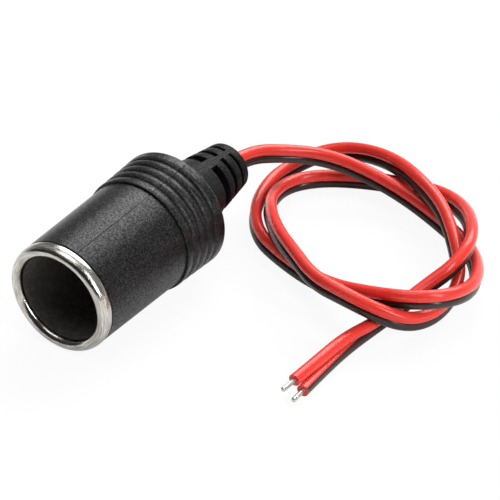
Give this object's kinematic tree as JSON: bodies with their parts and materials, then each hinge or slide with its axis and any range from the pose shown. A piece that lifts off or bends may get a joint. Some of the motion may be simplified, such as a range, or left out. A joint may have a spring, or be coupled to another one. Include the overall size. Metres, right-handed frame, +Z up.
{
  "type": "car power socket",
  "caption": "Round in-line 12 V accessory socket with a metal-lipped bore, moulded housing, slotted strain relief and a red and black twin lead with bared ends.",
  "frame": {"origin": "on the surface that the socket lies on, under the middle of its housing and shell", "axes": "+Z up, +Y along the socket from its mouth towards the lead, +X to the side that the lead's loops lie on"},
  "size_m": [0.0845, 0.1029, 0.0294],
  "materials": {
    "housing": "fine moulded grain on the barrel and collar, smooth on the strain relief",
    "shell": "polished nickel plate on steel",
    "insulator": "dark moulded phenolic",
    "contact": "plain brass",
    "washer": "vulcanised fibre",
    "tag": "tinned brass strip",
    "tinned_wire": "tinned copper strands",
    "red_core": "soft glossy vinyl",
    "black_core": "soft glossy vinyl"
  },
  "bodies": {
    "root": {"housing": "housing", "socket_shell": "shell", "contact_insulator": "insulator", "centre_contact": "contact", "insulating_washer": "washer", "positive_tag": "tag", "negative_tag": "tag", "red_wire_joint": "tinned_wire", "black_wire_joint": "tinned_wire", "red_core": "red_core", "black_core": "black_core", "red_wire_end": "tinned_wire", "black_wire_end": "tinned_wire"}
  },
  "joints": []
}
